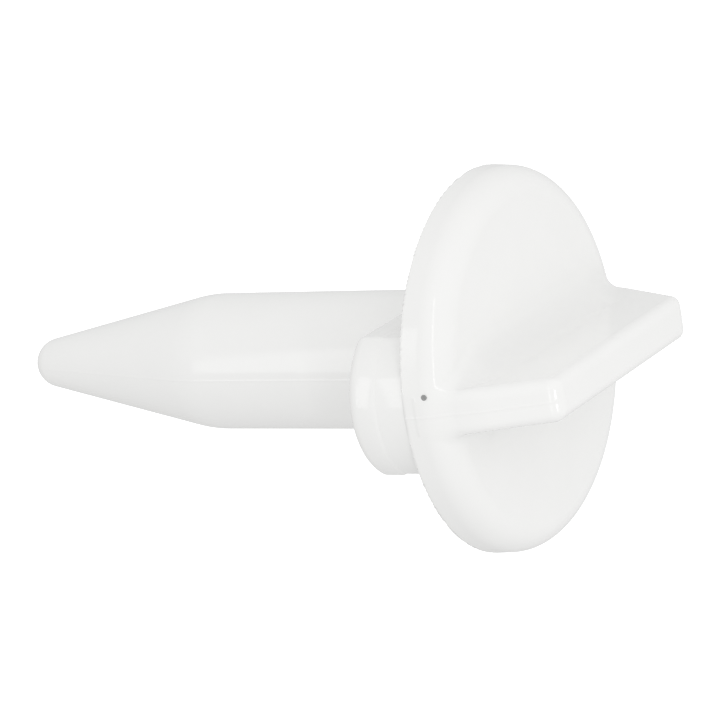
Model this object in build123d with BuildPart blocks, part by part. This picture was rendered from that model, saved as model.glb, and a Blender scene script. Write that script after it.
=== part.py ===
"""Push-and-turn wall anchor, moulded in one plastic: pointed shank, oblong lug, flange, thumb wing.

Millimetres. The shank's axis is X, with +X towards the thumb wing. The wing and the lug lie along
Y, and the mould's parting plane is Z = 0. The origin is on the axis, where the shank leaves the
lug's back face. Each region of the moulding is its own solid, face to face with its neighbours.
"""

from build123d import *

import os
from math import acos, atan2, cos, degrees, hypot, sin, sqrt

# Driving dimensions, mm
shank_r = 4.0
shank_length = 15.2
tip_length = 12.7
nose_r = 1.5
lug_thickness = 3.6
lug_half_length = 11.0
lug_end_r = 4.8
lug_back_round = 0.85
flange_r = 11.0
flange_thickness = 2.6
flange_front_round = 1.5
flange_draft = 0.15
wing_height = 5.5
wing_thickness = 2.5
wing_crest_half = 8.0
wing_base_half = 10.7
wing_corner_round = 0.6
wing_edge_round = 0.5
wing_root_round = 2.0
wing_flare_reach = 9.6
root_bite = 0.02  # how far the root's round reaches into the plate and the flange

# Places along the axis
tip_start = -shank_length
tip_end = tip_start - tip_length
flange_back = lug_thickness
flange_front = flange_back + flange_thickness
flange_round_start = flange_front - flange_front_round
wing_crest = flange_front + wing_height

os.makedirs("parts", exist_ok=True)


def export(piece, name):
    """Label one finished piece and write its STEP file."""
    piece.part.label = name
    export_step(piece.part, f"parts/{name}.step")


# Tip: a cone that runs tangent into a round nose
nose_centre = tip_end + nose_r
cone_run = tip_start - nose_centre
join_angle = atan2(shank_r, cone_run) + acos(nose_r / hypot(cone_run, shank_r))
nose_join = (nose_centre + nose_r * cos(join_angle), nose_r * sin(join_angle))
with BuildPart() as shank_tip:
    with BuildSketch(Plane.XY):
        with BuildLine():
            Polyline((tip_end, 0), (tip_start, 0), (tip_start, shank_r), nose_join)
            CenterArc((nose_centre, 0), nose_r, degrees(join_angle), 180 - degrees(join_angle))
        make_face()
    revolve(axis=Axis.X)
export(shank_tip, "shank_tip")

# Shank: the plain round stretch that fills the drilled hole
with BuildPart() as shank:
    with BuildSketch(Plane.YZ.offset(tip_start)):
        Circle(shank_r)
    extrude(amount=shank_length)
export(shank, "shank")

# Lug: a block as wide as the shank, with a round-ended ear on each side
with BuildPart() as lug_core:
    with BuildSketch(Plane.YZ):
        Rectangle(2 * shank_r, 2 * shank_r)
    extrude(amount=lug_thickness)
export(lug_core, "lug_core")


def lug_ear(side):
    """One ear of the lug, on the -Y side (-1) or the +Y side (+1)."""
    arc_start = lug_half_length - lug_end_r + sqrt(lug_end_r**2 - shank_r**2)
    with BuildPart() as ear:
        with BuildSketch(Plane.YZ):
            with BuildLine():
                Polyline(
                    (side * arc_start, shank_r),
                    (side * shank_r, shank_r),
                    (side * shank_r, -shank_r),
                    (side * arc_start, -shank_r),
                )
                ThreePointArc(
                    (side * arc_start, -shank_r),
                    (side * lug_half_length, 0),
                    (side * arc_start, shank_r),
                )
            make_face()
        extrude(amount=lug_thickness)
        back_edges = ear.faces().sort_by(Axis.X)[0].edges()
        outer_edges = back_edges.filter_by(lambda e: abs(e.center().Y) > shank_r + 0.1)
        fillet(outer_edges, lug_back_round)
    return ear


for side, name in ((-1, "lug_ear_left"), (1, "lug_ear_right")):
    export(lug_ear(side), name)

# Flange: a drafted disc with a full round on its front edge
with BuildPart() as flange_disc:
    with BuildSketch(Plane.XY):
        with BuildLine():
            Polyline(
                (flange_back, 0),
                (flange_back, flange_r),
                (flange_front, flange_r - flange_draft),
                (flange_front, 0),
                close=True,
            )
        make_face()
    revolve(axis=Axis.X)
    front_rim = flange_disc.edges().filter_by(GeomType.CIRCLE).group_by(Axis.X)[-1]
    fillet(front_rim, flange_front_round)
export(flange_disc, "flange_disc")

# Thumb wing: a tapered plate with rounded edges, standing on a root that flares into the flange
end_slope = (wing_base_half - wing_crest_half) / wing_height
with BuildPart() as wing_plate:
    with BuildSketch(Plane.XY):
        with BuildLine():
            Polyline(
                (flange_round_start, -wing_base_half),
                (flange_front, -wing_base_half),
                (wing_crest, -wing_crest_half),
                (wing_crest, wing_crest_half),
                (flange_front, wing_base_half),
                (flange_round_start, wing_base_half),
                close=True,
            )
        make_face()
    extrude(amount=wing_thickness / 2, both=True)
    fillet(wing_plate.edges().filter_by(Axis.Z).group_by(Axis.X)[-1], wing_corner_round)
    flanks = wing_plate.faces().filter_by(Axis.Z)
    upper_edges = flanks.edges().filter_by(lambda e: e.center().X > flange_round_start + 0.1)
    fillet(upper_edges, wing_edge_round)

flare_x = flange_front + wing_root_round - root_bite
flare_z = wing_thickness / 2 + wing_root_round - root_bite
with BuildPart() as thumb_wing:
    with BuildSketch(Plane.XZ):
        with BuildLine():
            Polyline(
                (flange_round_start, 0),
                (flange_round_start, flare_z),
                (flare_x - wing_root_round, flare_z),
            )
            CenterArc((flare_x, flare_z), wing_root_round, 180, 90)
            Polyline((flare_x, flare_z - wing_root_round), (flare_x, 0), (flange_round_start, 0))
        make_face()
        mirror(about=Plane.XZ)
    extrude(amount=wing_base_half, both=True)
    with BuildSketch(Plane.XY):
        with BuildLine():
            Polyline(
                (flange_round_start, 0),
                (flange_round_start, wing_flare_reach),
                (flange_front, wing_flare_reach),
                (wing_crest, wing_flare_reach - end_slope * wing_height),
                (wing_crest, 0),
                close=True,
            )
        make_face()
    revolve(axis=Axis.X, mode=Mode.INTERSECT)
    add(wing_plate.part)
    add(flange_disc.part, mode=Mode.SUBTRACT)
export(thumb_wing, "thumb_wing")
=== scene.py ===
"""Push-and-turn wall anchor in glossy white plastic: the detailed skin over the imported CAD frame.

Metres, in the frame's own axes: +X runs along the shank towards the thumb wing, the wing and the
lug lie along Y, and the mould's parting plane is Z = 0. The front of the anchor is one flowing
surface, written as a distance field, meshed once and cut between the flange and the wing. The lug
and the shank are swept from rings.
"""

import math

import bmesh
import bpy
import numpy as np
from mathutils import Matrix, Vector


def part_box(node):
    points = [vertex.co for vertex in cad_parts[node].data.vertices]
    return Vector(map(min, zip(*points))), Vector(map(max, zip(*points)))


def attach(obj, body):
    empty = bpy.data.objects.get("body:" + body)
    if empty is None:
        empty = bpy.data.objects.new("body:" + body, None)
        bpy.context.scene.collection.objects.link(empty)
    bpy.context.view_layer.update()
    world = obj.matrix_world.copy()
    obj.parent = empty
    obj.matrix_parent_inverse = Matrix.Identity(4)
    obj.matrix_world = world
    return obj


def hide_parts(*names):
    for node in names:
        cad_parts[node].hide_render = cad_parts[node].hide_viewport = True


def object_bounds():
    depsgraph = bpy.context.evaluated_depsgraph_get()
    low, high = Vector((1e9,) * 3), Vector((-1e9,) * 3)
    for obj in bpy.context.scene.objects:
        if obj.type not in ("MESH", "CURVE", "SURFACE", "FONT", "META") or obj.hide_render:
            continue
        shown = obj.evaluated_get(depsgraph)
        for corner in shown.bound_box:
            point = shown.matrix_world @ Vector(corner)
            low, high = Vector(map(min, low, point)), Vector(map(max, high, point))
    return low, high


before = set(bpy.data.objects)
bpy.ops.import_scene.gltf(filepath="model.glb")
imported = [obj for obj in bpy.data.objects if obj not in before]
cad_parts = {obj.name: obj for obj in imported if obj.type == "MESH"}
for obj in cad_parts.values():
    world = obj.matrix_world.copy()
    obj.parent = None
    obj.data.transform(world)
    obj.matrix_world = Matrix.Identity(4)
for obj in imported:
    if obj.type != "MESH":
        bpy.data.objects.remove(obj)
cad_low, cad_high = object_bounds()

MM = 0.001

# Sizes read from the frame
tip_low, tip_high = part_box("shank_tip")
shank_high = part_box("shank")[1]
ear_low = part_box("lug_ear_left")[0]
core_low, core_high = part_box("lug_core")
flange_low, flange_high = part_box("flange_disc")
wing_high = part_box("thumb_wing")[1]

shank_r = shank_high.z
tip_end, tip_start = tip_low.x, tip_high.x
lug_back, flange_back, flange_front = core_low.x, flange_low.x, flange_high.x
lug_half_width, lug_half_length = core_high.z, -ear_low.y
flange_r = flange_high.y
wing_crest = wing_high.x

# Finer sizes that the frame's boxes don't give
NOSE_R = 1.5 * MM
NOSE_FLAT_R = 0.02 * MM
TIP_SHOULDER = 0.9 * MM
LUG_END_R = 4.8 * MM
LUG_BACK_ROUND = 0.7 * MM
LUG_CORNER_ROUND = 0.4 * MM
LUG_STEP = 0.07 * MM
LUG_BITE = 0.1 * MM  # how far the lug runs on into the flange
FLANGE_DRAFT = 0.15 * MM
FLANGE_FRONT_ROUND = 1.5 * MM
FLANGE_BACK_ROUND = 0.12 * MM
WING_THICKNESS = 2.5 * MM
WING_CREST_HALF = 8.0 * MM
WING_BASE_HALF = 10.7 * MM
WING_CORNER_ROUND = 0.6 * MM
WING_EDGE_ROUND = 0.6 * MM
WING_FOOT_ROUND = 1.0 * MM
WING_ROOT_ROUND = 2.0 * MM
WING_ROOT_END_ROUND = 0.5 * MM
WING_ROOT_FADE = 4.0 * MM
WING_CUT = 0.25 * MM
GATE_R = 0.16 * MM
GATE_FROM_BACK = 1.39 * MM
GATE_ANGLE = math.radians(6.0)
SEAM_HEIGHT = 0.015 * MM
SEAM_WIDTH = 0.05 * MM

# The step round the lug: millimetres from the lug's middle, and share of LUG_STEP
LUG_STEP_PROFILE = ((-0.12, 0), (-0.05, 0.2), (0.05, 0.8), (0.12, 1))
# The gate mark from under the rim to its dished middle: share of GATE_R, and millimetres of height
GATE_PROFILE = ((1, -0.06), (1, 0.01), (0.85, 0.025), (0.6, 0.02), (0.3, 0.0), (0.05, -0.01))

# How finely the shapes are divided
GRID_STEP = 0.16 * MM
GRID_SEAM_LINES = (0.3, 0.9, 1.8)  # seam widths from the parting plane
RING_SEAM_POINTS = (0, 0.6, 1.2, 2.0)  # seam widths from the parting plane
RING_QUARTER_POINTS = 32
SHOULDER_RINGS = 25
STRAIGHT_RINGS = 16
NOSE_RINGS = 14
LUG_ROUND_RINGS = 9
LUG_END_POINTS = 36
LUG_CORNER_POINTS = 7
LUG_FLAT_POINTS = 24
GATE_SIDES = 24

# Edges that turn by more than this stay crisp
SHARP_ANGLE = math.radians(40)
GATE_SHARP_ANGLE = math.radians(60)


# ---------------------------------------------------------------- camera

CAMERA_YAW = math.radians(30.94)
WING_TILT = math.radians(17.1)
CAMERA_ROLL = math.radians(0.51)
CAMERA_RANGE = 226.3 * MM
VIEW_SIDE = 40.735 * MM
AIM_ACROSS = -7.737 * MM
AIM_ABOVE = -0.091 * MM


def add_camera():
    """A view that spans VIEW_SIDE at the flange's back, aimed a little to the side of its centre."""
    toward = Vector((
        math.sin(CAMERA_YAW),
        -math.cos(CAMERA_YAW) * math.cos(WING_TILT),
        math.cos(CAMERA_YAW) * math.sin(WING_TILT),
    ))
    level_up = Vector((0, math.sin(WING_TILT), math.cos(WING_TILT)))
    level_right = level_up.cross(toward)
    right = math.cos(CAMERA_ROLL) * level_right - math.sin(CAMERA_ROLL) * level_up
    up = math.sin(CAMERA_ROLL) * level_right + math.cos(CAMERA_ROLL) * level_up
    target = Vector((flange_back, 0, 0)) + AIM_ACROSS * right + AIM_ABOVE * up
    data = bpy.data.cameras.new("camera")
    data.sensor_width = 36
    data.lens = data.sensor_width * CAMERA_RANGE / VIEW_SIDE
    data.clip_start, data.clip_end = 0.01, 10
    camera = bpy.data.objects.new("camera", data)
    bpy.context.scene.collection.objects.link(camera)
    basis = Matrix((right, up, toward)).transposed()
    camera.matrix_world = Matrix.Translation(target + toward * CAMERA_RANGE) @ basis.to_4x4()
    bpy.context.scene.camera = camera


# ---------------------------------------------------------------- distance fields


def round_meet(a, b, radius):
    """The solid inside both a and b, with its edge rounded to radius."""
    reach = np.hypot(np.maximum(a + radius, 0), np.maximum(b + radius, 0))
    return np.minimum(-radius, np.maximum(a, b)) + reach


def round_join(a, b, radius):
    """The solid inside a or b, with the corner between them filled to radius."""
    return -round_meet(-a, -b, radius)


def smooth_step(value):
    """An even rise from 0 to 1, level at both ends."""
    t = np.clip(value, 0, 1)
    return t * t * (3 - 2 * t)


def seam(z):
    """Height of the fine ridge that the mould's parting plane leaves."""
    return SEAM_HEIGHT * np.exp(-((z / SEAM_WIDTH) ** 2))


def flange_field(x, y, z):
    """The drafted disc, with its parting ridge on the two sides that face along Y."""
    draft = FLANGE_DRAFT * (x - flange_back) / (flange_front - flange_back)
    rim = np.hypot(y, z) - (flange_r - draft) - seam(z) * (y * y > z * z)
    front = round_meet(rim, x - flange_front, FLANGE_FRONT_ROUND)
    return round_meet(front, flange_back - x, FLANGE_BACK_ROUND)


def wing_field(x, y, z):
    """The tapered plate, from its crest down to where the flange's front round starts."""
    rise, run = wing_crest - flange_front, WING_BASE_HALF - WING_CREST_HALF
    slant = math.atan2(run, rise)
    crest = x - wing_crest
    end = crest * math.sin(slant) + (np.abs(y) - WING_CREST_HALF) * math.cos(slant) - seam(z)
    side = np.abs(y) - WING_BASE_HALF - seam(z)
    outline = round_meet(crest, round_meet(end, side, WING_FOOT_ROUND), WING_CORNER_ROUND)
    plate = round_meet(outline, np.abs(z) - WING_THICKNESS / 2, WING_EDGE_ROUND)
    return np.maximum(plate, flange_front - FLANGE_FRONT_ROUND - x)


def front_field(x, y, z):
    """Flange and wing, blended by a root fillet that fades out towards the rim."""
    fade = smooth_step((WING_BASE_HALF - np.abs(y)) / WING_ROOT_FADE)
    root = WING_ROOT_END_ROUND + (WING_ROOT_ROUND - WING_ROOT_END_ROUND) * fade
    return round_join(flange_field(x, y, z), wing_field(x, y, z), root)


def gradient(field, points):
    """Unit outward direction of a field at each point."""
    reach = 1e-6
    found = np.empty_like(points)
    for axis in range(3):
        offset = np.zeros(3)
        offset[axis] = reach
        found[:, axis] = field(*(points + offset).T) - field(*(points - offset).T)
    return found / np.maximum(np.linalg.norm(found, axis=1, keepdims=True), 1e-12)


def surface_net(field, axes):
    """Quads of the field's zero surface: one vertex in each cell that the surface crosses."""
    values = field(*np.meshgrid(*axes, indexing="ij"))
    inside = values < 0
    cells = tuple(n - 1 for n in values.shape)
    total = np.zeros(cells + (3,))
    count = np.zeros(cells)
    crossings = []
    for axis in range(3):
        # Grid edges along this axis whose two ends lie on different sides of the surface
        near = tuple(slice(0, -1) if a == axis else slice(None) for a in range(3))
        far = tuple(slice(1, None) if a == axis else slice(None) for a in range(3))
        edges = np.argwhere(inside[near] != inside[far])
        start, stop = edges.copy(), edges.copy()
        stop[:, axis] += 1
        v0, v1 = values[tuple(start.T)], values[tuple(stop.T)]
        share = v0 / (v0 - v1)
        at = np.stack([axes[a][start[:, a]] for a in range(3)], axis=1)
        at[:, axis] += share * (axes[axis][stop[:, axis]] - axes[axis][start[:, axis]])
        # The four cells round each of these edges share in its crossing point
        b, c = (axis + 1) % 3, (axis + 2) % 3
        around = []
        for step_b, step_c in ((0, 0), (-1, 0), (-1, -1), (0, -1)):
            cell = edges.copy()
            cell[:, b] += step_b
            cell[:, c] += step_c
            around.append(cell)
            np.add.at(total, tuple(cell.T), at)
            np.add.at(count, tuple(cell.T), 1)
        crossings.append((around, v0 < 0))
    index = np.full(cells, -1)
    used = np.argwhere(count > 0)
    index[tuple(used.T)] = np.arange(len(used))
    points = total[tuple(used.T)] / count[tuple(used.T)][:, None]
    quads = []
    for around, outward in crossings:
        ring = np.stack([index[tuple(cell.T)] for cell in around], axis=1)
        ring[~outward] = ring[~outward][:, ::-1]
        quads.append(ring)
    return points, np.concatenate(quads)


def settle(field, points, rounds=4):
    """Move points onto the zero surface along the field's gradient."""
    for _ in range(rounds):
        points = points - gradient(field, points) * field(*points.T)[:, None]
    return points


def spaced(low, high, step, finer=()):
    """Even grid lines from low to high, with finer ones in place of those close to them."""
    close = 0.3 * step
    lines = np.arange(low, high + step, step)
    keep = [v for v in lines if all(abs(v - f) > close for f in finer)]
    return np.array(sorted([*keep, *finer]))


# ---------------------------------------------------------------- meshes


def add_piece(name, mesh, material, *nodes):
    """A piece on the anchor's one body, standing for the CAD nodes if it has any."""
    mesh.materials.append(material)
    piece = bpy.data.objects.new(name, mesh)
    bpy.context.scene.collection.objects.link(piece)
    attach(piece, "root")
    if nodes:
        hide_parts(*nodes)
    return piece


def editable(mesh):
    """A bmesh copy of a mesh."""
    copy = bmesh.new()
    copy.from_mesh(mesh)
    return copy


def cut_mesh(source, name, planes):
    """A copy of a bmesh, cut by (point, outward direction) planes and closed where it was cut."""
    cut = source.copy()
    for point, outward in planes:
        whole = cut.verts[:] + cut.edges[:] + cut.faces[:]
        found = bmesh.ops.bisect_plane(
            cut, geom=whole, plane_co=point, plane_no=outward, clear_outer=True, dist=1e-8
        )
        rim = [g for g in found["geom_cut"] if isinstance(g, bmesh.types.BMEdge)]
        bmesh.ops.contextual_create(cut, geom=rim)
    mesh = bpy.data.meshes.new(name)
    cut.to_mesh(mesh)
    cut.free()
    return mesh


def shade_by_field(mesh, field, tolerance=0.02 * MM):
    """Smooth shading with the field's own normals, and flat shading on the cut faces."""
    co = np.empty(len(mesh.vertices) * 3)
    mesh.vertices.foreach_get("co", co)
    normals = gradient(field, co.reshape(-1, 3))
    mesh.polygons.foreach_set("use_smooth", np.ones(len(mesh.polygons), bool))
    loops = np.empty(len(mesh.loops), int)
    mesh.loops.foreach_get("vertex_index", loops)
    split = normals[loops]
    off_surface = np.abs(field(*np.array([p.center for p in mesh.polygons]).T))
    for polygon, off in zip(mesh.polygons, off_surface):
        if off > tolerance:
            for loop in polygon.loop_indices:
                split[loop] = polygon.normal
    mesh.normals_split_custom_set(split.tolist())


def shade_by_angle(mesh, sharp_angle=SHARP_ANGLE):
    """Smooth shading, with edges that turn by more than the angle kept crisp."""
    shaped = editable(mesh)
    for face in shaped.faces:
        face.smooth = True
    for edge in shaped.edges:
        edge.smooth = edge.calc_face_angle(0) < sharp_angle
    shaped.to_mesh(mesh)
    shaped.free()


def front_pieces():
    """The flange and the thumb wing, cut from one surface just above the flange's face."""
    margin = 2 * GRID_STEP
    half = flange_r + margin
    near_seam = [side * w * SEAM_WIDTH for side in (-1, 1) for w in GRID_SEAM_LINES]
    axes = (
        spaced(flange_back - margin, wing_crest + margin, GRID_STEP),
        spaced(-half, half, GRID_STEP),
        spaced(-half, half, GRID_STEP, near_seam),
    )
    points, quads = surface_net(front_field, axes)
    points = settle(front_field, points)
    mesh = bpy.data.meshes.new("front")
    mesh.from_pydata(points.tolist(), [], quads.tolist())
    whole = editable(mesh)
    bpy.data.meshes.remove(mesh)
    cut = Vector((flange_front + WING_CUT, 0, 0))
    forward = Vector((1, 0, 0))
    for name, outward, node in (
        ("flange_body", forward, "flange_disc"),
        ("thumb_wing_body", -forward, "thumb_wing"),
    ):
        part = cut_mesh(whole, name, [(cut, outward)])
        shade_by_field(part, front_field)
        add_piece(name, part, plastic, node)
    whole.free()


def lug_ring(inset):
    """The lug's outline in (y, z), drawn in by inset: two flats, two round ends, four soft corners."""
    half, end_r = lug_half_width - inset, LUG_END_R - inset
    centre = lug_half_length - LUG_END_R
    corner = LUG_CORNER_ROUND
    low_angle = math.asin((half - corner) / (end_r - corner))
    corner_y = centre + (end_r - corner) * math.cos(low_angle)
    end = [
        (centre + end_r * math.cos(t), end_r * math.sin(t))
        for t in np.linspace(-low_angle, low_angle, LUG_END_POINTS)
    ]
    turn = [
        (corner_y + corner * math.cos(t), half - corner + corner * math.sin(t))
        for t in np.linspace(low_angle, math.pi / 2, LUG_CORNER_POINTS)[1:]
    ]
    flat = [(y, half) for y in np.linspace(corner_y, -corner_y, LUG_FLAT_POINTS)[1:-1]]
    far_turn = [(-y, z) for y, z in reversed(turn)]
    first_half = [*end, *turn, *flat, *far_turn]
    return [*first_half, *[(-y, -z) for y, z in first_half]]


def swept_mesh(name, rings):
    """A closed tube through rings of equal length, with a face over each end, all facing outwards."""
    count = len(rings[0])
    verts = [p for ring in rings for p in ring]
    faces = []
    for i in range(len(rings) - 1):
        for j in range(count):
            k = (j + 1) % count
            faces.append((i * count + j, (i + 1) * count + j, (i + 1) * count + k, i * count + k))
    faces.append(tuple(range(count)))
    faces.append(tuple(reversed(range((len(rings) - 1) * count, len(rings) * count))))
    mesh = bpy.data.meshes.new(name)
    mesh.from_pydata(verts, [], faces)
    outward = editable(mesh)
    bmesh.ops.recalc_face_normals(outward, faces=outward.faces[:])
    outward.to_mesh(mesh)
    outward.free()
    return mesh


def lug_pieces():
    """The lug's core and two ears, cut from one sweep whose front half steps in a little."""
    middle = (lug_back + flange_back) / 2
    profile = [
        (lug_back + LUG_BACK_ROUND * (1 - math.cos(t)), LUG_BACK_ROUND * (1 - math.sin(t)))
        for t in np.linspace(0, math.pi / 2, LUG_ROUND_RINGS)
    ]
    profile += [(middle + along * MM, share * LUG_STEP) for along, share in LUG_STEP_PROFILE]
    profile.append((flange_back + LUG_BITE, LUG_STEP))
    rings = [[(x, y, z) for y, z in lug_ring(inset)] for x, inset in profile]
    source = swept_mesh("lug", rings)
    whole = editable(source)
    bpy.data.meshes.remove(source)
    left = (Vector((0, -shank_r, 0)), Vector((0, 1, 0)))
    right = (Vector((0, shank_r, 0)), Vector((0, -1, 0)))
    inner = [(left[0], -left[1]), (right[0], -right[1])]
    for name, planes, node in (
        ("lug_ear_left_body", [left], "lug_ear_left"),
        ("lug_ear_right_body", [right], "lug_ear_right"),
        ("lug_core_body", inner, "lug_core"),
    ):
        part = cut_mesh(whole, name, planes)
        shade_by_angle(part)
        add_piece(name, part, plastic, node)
    whole.free()


def turned_ring(x, radius):
    """A ring round the axis, with the parting ridge at z = 0 on both sides."""
    near_seam = [w * SEAM_WIDTH / shank_r for w in RING_SEAM_POINTS]
    even = np.linspace(0, math.pi / 2, RING_QUARTER_POINTS)[1:]
    quarter = sorted({round(a, 9) for a in (*near_seam, *even)})
    half = [*quarter, *[math.pi - a for a in reversed(quarter[:-1])]]
    full = [*half, *[a + math.pi for a in half[1:-1]]]
    ring = []
    for angle in full:
        z = radius * math.sin(angle)
        r = radius + float(seam(z)) * min(1, radius / shank_r)
        ring.append((x, r * math.cos(angle), r * math.sin(angle)))
    return ring


def cone_join():
    """The angle, seen from the nose's centre, at which the cone runs into the round nose."""
    run = tip_start - tip_end - NOSE_R
    return math.atan2(shank_r, run) + math.acos(NOSE_R / math.hypot(run, shank_r))


def shank_radius(x):
    """Radius of the shank and its cone at x, with the shoulder between them softened."""
    slope = math.tan(cone_join() - math.pi / 2)
    below = tip_start + TIP_SHOULDER - x
    if below <= 0:
        return shank_r
    if below < 2 * TIP_SHOULDER:
        return shank_r - slope * below**2 / (4 * TIP_SHOULDER)
    return shank_r - slope * (tip_start - x)


def shank_piece():
    """The shank, run on a little into the lug so that the lug's rounded back leaves no notch."""
    shoulder = np.linspace(tip_start, tip_start + TIP_SHOULDER, SHOULDER_RINGS)
    plain = np.linspace(tip_start + TIP_SHOULDER, lug_back, STRAIGHT_RINGS)[1:]
    places = [*shoulder, *plain, lug_back + LUG_BACK_ROUND]
    mesh = swept_mesh("shank_body", [turned_ring(x, shank_radius(x)) for x in places])
    shade_by_angle(mesh)
    add_piece("shank_body", mesh, plastic, "shank")


def tip_piece():
    """The tapered point, with its share of the soft shoulder and a round nose."""
    centre = tip_end + NOSE_R
    join = cone_join()
    cone_end = centre + NOSE_R * math.cos(join)
    shoulder = np.linspace(tip_start, tip_start - TIP_SHOULDER, SHOULDER_RINGS)
    cone = np.linspace(tip_start - TIP_SHOULDER, cone_end, STRAIGHT_RINGS)[1:]
    profile = [(x, shank_radius(x)) for x in (*shoulder, *cone)]
    for angle in np.linspace(join, math.pi, NOSE_RINGS)[1:-1]:
        profile.append((centre + NOSE_R * math.cos(angle), NOSE_R * math.sin(angle)))
    profile.append((tip_end, NOSE_FLAT_R))
    mesh = swept_mesh("tip_body", [turned_ring(x, r) for x, r in reversed(profile)])
    shade_by_angle(mesh)
    add_piece("tip_body", mesh, plastic, "shank_tip")


def gate_piece():
    """The dished stub left on the rim where the mould was filled, coloured dark grey as painted shade
    of a pit there.
    """
    out = Vector((0, -math.cos(GATE_ANGLE), math.sin(GATE_ANGLE)))
    along = Vector((1, 0, 0))
    across = out.cross(along)
    draft = FLANGE_DRAFT * GATE_FROM_BACK / (flange_front - flange_back)
    foot = along * (flange_back + GATE_FROM_BACK) + out * (flange_r - draft)
    rings = []
    for share, height in GATE_PROFILE:
        ring = []
        for angle in np.linspace(0, 2 * math.pi, GATE_SIDES, endpoint=False):
            flat = math.cos(angle) * along + math.sin(angle) * across
            ring.append(tuple(foot + flat * share * GATE_R + out * height * MM))
        rings.append(ring)
    mesh = swept_mesh("gate_mark", rings)
    shade_by_angle(mesh, GATE_SHARP_ANGLE)
    add_piece("gate_mark", mesh, gate_painted_shade)


# ---------------------------------------------------------------- material


def node(tree, kind, inputs=(), **settings):
    """A shader node with its settings and its unlinked inputs."""
    made = tree.nodes.new(kind)
    for key, value in settings.items():
        setattr(made, key, value)
    for key, value in dict(inputs).items():
        made.inputs[key].default_value = value
    return made


def moulded_plastic(name, dark, light):
    """Glossy plastic: faint flow mottling between two tones, uneven gloss and a fine texture."""
    material = bpy.data.materials.new(name)
    material.use_nodes = True
    tree = material.node_tree
    shader = tree.nodes["Principled BSDF"]
    shader.inputs["IOR"].default_value = 1.46
    shader.inputs["Specular IOR Level"].default_value = 0.5
    place = node(tree, "ShaderNodeTexCoord")
    flow = node(tree, "ShaderNodeTexNoise", {"Scale": 300, "Detail": 3, "Roughness": 0.6})
    tint = node(tree, "ShaderNodeValToRGB")
    tint.color_ramp.elements[0].position = 0.3
    tint.color_ramp.elements[0].color = dark
    tint.color_ramp.elements[1].position = 0.7
    tint.color_ramp.elements[1].color = light
    gloss = node(tree, "ShaderNodeTexNoise", {"Scale": 900, "Detail": 2})
    rough = node(tree, "ShaderNodeMapRange", {"To Min": 0.08, "To Max": 0.12})
    grain = node(tree, "ShaderNodeTexNoise", {"Scale": 5000, "Detail": 2})
    bump = node(tree, "ShaderNodeBump", {"Strength": 0.05, "Distance": 0.005 * MM})
    links = tree.links
    for texture in (flow, gloss, grain):
        links.new(place.outputs["Object"], texture.inputs["Vector"])
    links.new(flow.outputs["Fac"], tint.inputs["Fac"])
    links.new(tint.outputs["Color"], shader.inputs["Base Color"])
    links.new(gloss.outputs["Fac"], rough.inputs["Value"])
    links.new(rough.outputs["Result"], shader.inputs["Roughness"])
    links.new(grain.outputs["Fac"], bump.inputs["Height"])
    links.new(bump.outputs["Normal"], shader.inputs["Normal"])
    return material


# ---------------------------------------------------------------- stage


FLOOR_REACH = 2.0
FLOOR_DROP = 0.2 * MM

BRIGHT_SIDE = (0.86, -0.20, 0.47)
WORLD_STRENGTH_AWAY = 0.63
WORLD_STRENGTH_BRIGHT = 0.96


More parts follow.
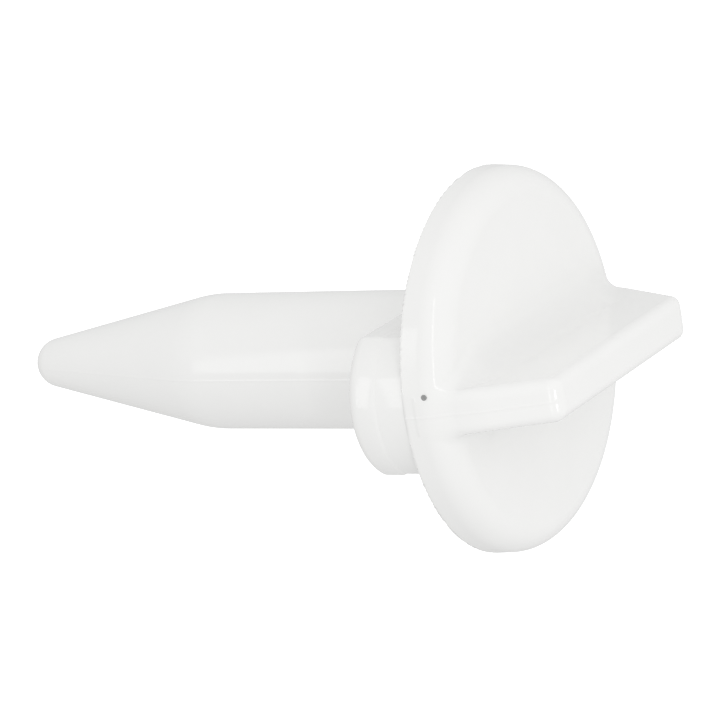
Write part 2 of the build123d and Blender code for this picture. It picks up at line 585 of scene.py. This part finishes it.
def add_floor():
    """A wide floor under the flange's rim, white by its own glow and seen by the camera only."""
    mesh = bpy.data.meshes.new("floor")
    z = cad_low.z - FLOOR_DROP
    corners = [(x * FLOOR_REACH, y * FLOOR_REACH, z) for x, y in ((-1, -1), (1, -1), (1, 1), (-1, 1))]
    mesh.from_pydata(corners, [], [(0, 1, 2, 3)])
    material = bpy.data.materials.new("floor_paper")
    material.use_nodes = True
    shader = material.node_tree.nodes["Principled BSDF"]
    shader.inputs["Base Color"].default_value = (0.35, 0.35, 0.35, 1)
    shader.inputs["Roughness"].default_value = 0.9
    shader.inputs["Emission Color"].default_value = (1, 1, 1, 1)
    shader.inputs["Emission Strength"].default_value = 1.0
    mesh.materials.append(material)
    floor = bpy.data.objects.new("floor", mesh)
    floor.visible_diffuse = False
    floor.visible_glossy = False
    floor.visible_shadow = False
    bpy.context.scene.collection.objects.link(floor)


def area_light(name, place, width, height, power):
    """A soft rectangular light, placed from the anchor's middle and aimed at it."""
    data = bpy.data.lights.new(name, "AREA")
    data.shape = "RECTANGLE"
    data.size = width
    data.size_y = height
    data.energy = power
    lamp = bpy.data.objects.new(name, data)
    lamp.visible_camera = False
    middle = (cad_low + cad_high) / 2
    lamp.location = middle + Vector(place)
    lamp.rotation_mode = "QUATERNION"
    lamp.rotation_quaternion = Vector(place).to_track_quat("Z", "Y")
    bpy.context.scene.collection.objects.link(lamp)


def add_light():
    """A white studio, brightest in front of the wing, with soft boxes for the glints."""
    world = bpy.data.worlds.new("studio")
    world.use_nodes = True
    tree = world.node_tree
    background = tree.nodes["Background"]
    background.inputs["Color"].default_value = (1, 1, 1, 1)
    place = node(tree, "ShaderNodeTexCoord")
    facing = node(tree, "ShaderNodeVectorMath", {1: BRIGHT_SIDE}, operation="DOT_PRODUCT")
    strengths = {"From Min": -1, "To Min": WORLD_STRENGTH_AWAY, "To Max": WORLD_STRENGTH_BRIGHT}
    lobe = node(tree, "ShaderNodeMapRange", strengths)
    tree.links.new(place.outputs["Generated"], facing.inputs[0])
    tree.links.new(facing.outputs["Value"], lobe.inputs["Value"])
    tree.links.new(lobe.outputs["Result"], background.inputs["Strength"])
    bpy.context.scene.world = world
    area_light("side_box", (-0.132, -0.248, 0.073), width=0.07, height=0.18, power=0.05)
    area_light("tall_strip", (0.202, -0.202, 0.050), width=0.018, height=0.40, power=0.065)
    area_light("low_strip", (0.0512, -0.0148, -0.0083), width=0.005, height=0.004, power=0.0004)
    bpy.context.scene.view_settings.view_transform = "Standard"


# ---------------------------------------------------------------- the scene

plastic = moulded_plastic("moulded_plastic", (0.925, 0.925, 0.915, 1), (0.935, 0.935, 0.925, 1))
# The gate mark's dark grey is painted shade: it stands in for the shadow in a small pit on the rim.
gate_painted_shade = moulded_plastic("gate_painted_shade_grey", (0.30, 0.30, 0.30, 1), (0.36, 0.36, 0.36, 1))
add_camera()
front_pieces()
lug_pieces()
shank_piece()
tip_piece()
gate_piece()
add_floor()
add_light()
